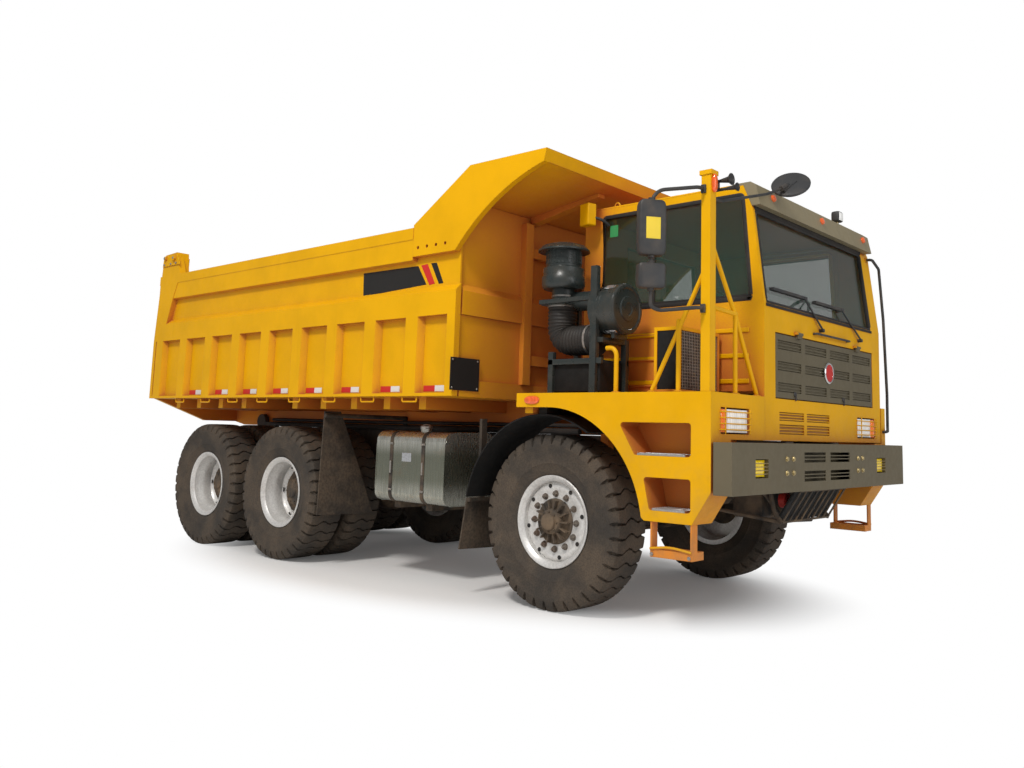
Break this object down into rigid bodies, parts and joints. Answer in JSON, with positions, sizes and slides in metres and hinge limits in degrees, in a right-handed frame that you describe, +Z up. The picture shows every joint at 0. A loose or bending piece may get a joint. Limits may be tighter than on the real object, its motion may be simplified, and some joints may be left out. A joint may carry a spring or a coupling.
{
  "type": "mining dump truck",
  "caption": "Six-wheel off-road dump truck with an offset cab, side walkway, external air cleaner and a ribbed rock body with a cab canopy that tips rearward",
  "frame": {"origin": "on the ground, at the middle of the truck's length and width", "axes": "+X is forward, +Y is the truck's left, +Z is up"},
  "size_m": [8.064, 3.9568, 3.6],
  "materials": {
    "yellow_paint": "worn satin",
    "olive_paint": "satin",
    "frame_paint": "worn matte",
    "cast_metal": "rough",
    "spring_steel": "matte",
    "bright_metal": "brushed",
    "rim_paint": "worn satin",
    "tyre": "dusty matte",
    "rubber": "matte",
    "dark_plastic": "matte",
    "lamp_plastic": "gloss",
    "glass": "tinted",
    "seat_fabric": "matte",
    "chrome_rod": "polished"
  },
  "bodies": {
    "chassis_and_cab": {"frame_rails": "frame_paint", "bumper": "olive_paint", "bar_guard": "frame_paint", "lamps": "lamp_plastic", "engine_block": "cast_metal", "front_axle": "cast_metal", "springs": "spring_steel", "driven_axles": "cast_metal", "propshafts": "cast_metal", "fuel_tank": "bright_metal", "tank_straps": "frame_paint", "side_stores": "frame_paint", "mud_flaps": "rubber", "fender_liners": "dark_plastic", "walkway_right": "yellow_paint", "skirt_left": "yellow_paint", "hanging_steps": "yellow_paint", "step_treads": "bright_metal", "horns": "dark_plastic", "wipers": "dark_plastic", "walkway_rails": "yellow_paint", "mirrors_right": "dark_plastic", "mirror_left": "dark_plastic", "air_intake": "dark_plastic", "air_filter": "dark_plastic", "cooler_box": "yellow_paint", "cab_shell": "yellow_paint", "cab_glass": "glass", "visor": "olive_paint", "cab_handrail": "yellow_paint", "driver_seat": "seat_fabric", "dashboard": "dark_plastic"},
    "dump_body": {"body_floor": "yellow_paint", "body_sides": "yellow_paint", "body_front_wall": "yellow_paint", "body_canopy": "yellow_paint"},
    "tailgate": {"tailgate": "yellow_paint"},
    "hoist_barrels": {"hoist_barrels": "frame_paint"},
    "hoist_rods": {"hoist_rods": "chrome_rod"},
    "knuckle_right": {"knuckle_right": "cast_metal"},
    "knuckle_left": {"knuckle_left": "cast_metal"},
    "door": {"door_panel": "yellow_paint", "door_glass": "glass"},
    "grille_flap": {"grille_flap": "olive_paint"},
    "wheel_front_right": {"tyre_front_right": "tyre", "wheel_front_right": "rim_paint"},
    "wheel_front_left": {"tyre_front_left": "tyre", "wheel_front_left": "rim_paint"},
    "twins_mid_right": {"tyres_mid_right": "tyre", "wheels_mid_right": "rim_paint"},
    "twins_mid_left": {"tyres_mid_left": "tyre", "wheels_mid_left": "rim_paint"},
    "twins_rear_right": {"tyres_rear_right": "tyre", "wheels_rear_right": "rim_paint"},
    "twins_rear_left": {"tyres_rear_left": "tyre", "wheels_rear_left": "rim_paint"}
  },
  "joints": [
    {"name": "dump_lift", "type": "hinge", "parent": "chassis_and_cab", "child": "dump_body", "pos_m": [-3.24, 0, 1.395], "axis": [0, -1, 0], "range_deg": [0, 48]},
    {"name": "tailgate_swing", "type": "hinge", "parent": "dump_body", "child": "tailgate", "pos_m": [-3.73, 0, 3.32], "axis": [0, 1, 0], "range_deg": [0, 50]},
    {"name": "hoist_tilt", "type": "hinge", "parent": "chassis_and_cab", "child": "hoist_barrels", "pos_m": [0.56, 0, 1.08], "axis": [0, 1, 0], "range_deg": [0, 22.6]},
    {"name": "hoist_extend", "type": "slide", "parent": "hoist_barrels", "child": "hoist_rods", "axis": [-0.9843, 0, 0.1763], "range_m": [0, 1.09]},
    {"name": "steer_right", "type": "hinge", "parent": "chassis_and_cab", "child": "knuckle_right", "pos_m": [2.31, -0.905, 0.6749], "axis": [0, 0, 1], "range_deg": [-32, 32]},
    {"name": "steer_left", "type": "hinge", "parent": "chassis_and_cab", "child": "knuckle_left", "pos_m": [2.31, 0.905, 0.6749], "axis": [0, 0, 1], "range_deg": [-32, 32]},
    {"name": "door_swing", "type": "hinge", "parent": "chassis_and_cab", "child": "door", "pos_m": [3.496, 1.484, 2.4], "axis": [0, 0, -1], "range_deg": [0, 65]},
    {"name": "grille_lift", "type": "hinge", "parent": "chassis_and_cab", "child": "grille_flap", "pos_m": [3.86, 0, 2.167], "axis": [0, -1, 0], "range_deg": [0, 75]},
    {"name": "roll_front_right", "type": "hinge", "parent": "knuckle_right", "child": "wheel_front_right", "pos_m": [2.31, -1.2, 0.6749], "axis": [0, 1, 0], "continuous": true},
    {"name": "roll_front_left", "type": "hinge", "parent": "knuckle_left", "child": "wheel_front_left", "pos_m": [2.31, 1.2, 0.6749], "axis": [0, 1, 0], "continuous": true},
    {"name": "roll_mid_right", "type": "hinge", "parent": "chassis_and_cab", "child": "twins_mid_right", "pos_m": [-1.29, -1.076, 0.6749], "axis": [0, 1, 0], "continuous": true},
    {"name": "roll_mid_left", "type": "hinge", "parent": "chassis_and_cab", "child": "twins_mid_left", "pos_m": [-1.29, 1.076, 0.6749], "axis": [0, 1, 0], "continuous": true},
    {"name": "roll_rear_right", "type": "hinge", "parent": "chassis_and_cab", "child": "twins_rear_right", "pos_m": [-2.79, -1.076, 0.6749], "axis": [0, 1, 0], "continuous": true},
    {"name": "roll_rear_left", "type": "hinge", "parent": "chassis_and_cab", "child": "twins_rear_left", "pos_m": [-2.79, 1.076, 0.6749], "axis": [0, 1, 0], "continuous": true}
  ],
  "couplings": [
    {"joint": "hoist_tilt", "follows": "dump_lift", "ratio": 0.4645},
    {"joint": "hoist_extend", "follows": "dump_lift", "m_per_rad": 1.29},
    {"joint": "steer_left", "follows": "steer_right", "ratio": 1}
  ]
}
